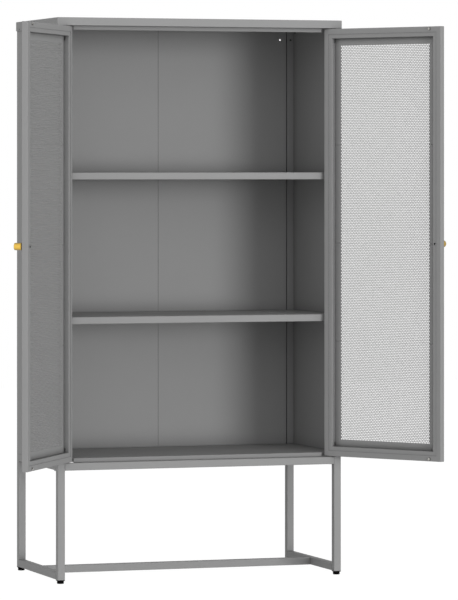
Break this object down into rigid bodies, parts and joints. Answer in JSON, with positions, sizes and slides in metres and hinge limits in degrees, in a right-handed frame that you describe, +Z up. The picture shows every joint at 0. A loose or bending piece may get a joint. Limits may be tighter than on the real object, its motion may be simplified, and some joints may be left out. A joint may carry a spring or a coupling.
{
  "type": "office cabinet",
  "caption": "Tall grey steel storage cabinet with shelves on an open tube stand, closed by perforated double doors that swing on pin hinges and carry round brass knobs.",
  "frame": {"origin": "on the floor, under the middle of the cabinet's body", "axes": "+Z up, the doors face -Y, +X to the right as seen from the front"},
  "size_m": [1.196, 0.7064, 1.503],
  "materials": {
    "grey_paint": "satin powder coat",
    "brass": "satin",
    "zinc": "bright zinc plate",
    "black_steel": "black oxide",
    "nickel": "nickel plate",
    "black_plastic": "matt",
    "nylon": "matt"
  },
  "bodies": {
    "cabinet": {"front_left_leg": "grey_paint", "front_right_leg": "grey_paint", "rear_left_leg": "grey_paint", "rear_right_leg": "grey_paint", "front_top_rail": "grey_paint", "rear_top_rail": "grey_paint", "left_top_rail": "grey_paint", "right_top_rail": "grey_paint", "left_bottom_rail": "grey_paint", "right_bottom_rail": "grey_paint", "middle_stretcher": "grey_paint", "front_left_foot": "black_plastic", "front_right_foot": "black_plastic", "rear_left_foot": "black_plastic", "rear_right_foot": "black_plastic", "stand_bolts": "zinc", "stand_nuts": "zinc", "left_side_panel": "grey_paint", "right_side_panel": "grey_paint", "left_back_panel": "grey_paint", "right_back_panel": "grey_paint", "floor_panel": "grey_paint", "header_rail": "grey_paint", "top_cover": "grey_paint", "lower_shelf": "grey_paint", "upper_shelf": "grey_paint", "shelf_screws": "zinc", "cover_screws": "black_steel", "back_screws": "black_steel", "upper_hinge_bushes": "nylon", "lower_hinge_bushes": "nylon"},
    "left_door": {"left_door_frame": "grey_paint", "left_door_stiffener": "grey_paint", "left_mesh_panel": "grey_paint", "left_upper_hinge_block": "zinc", "left_lower_hinge_block": "zinc", "left_upper_hinge_pin": "zinc", "left_lower_hinge_pin": "zinc", "left_door_magnets": "nickel", "left_knob": "brass", "left_knob_screw": "zinc"},
    "right_door": {"right_door_frame": "grey_paint", "right_door_stiffener": "grey_paint", "right_mesh_panel": "grey_paint", "right_upper_hinge_block": "zinc", "right_lower_hinge_block": "zinc", "right_upper_hinge_pin": "zinc", "right_lower_hinge_pin": "zinc", "right_door_magnets": "nickel", "right_knob": "brass", "right_knob_screw": "zinc"}
  },
  "joints": [
    {"name": "left_door_hinge", "type": "hinge", "parent": "cabinet", "child": "left_door", "pos_m": [-0.371, -0.1928, 0.901], "axis": [0, 0, 1], "range_deg": [-3, 124]},
    {"name": "right_door_hinge", "type": "hinge", "parent": "cabinet", "child": "right_door", "pos_m": [0.371, -0.1928, 0.901], "axis": [0, 0, 1], "range_deg": [-124, 3]}
  ]
}
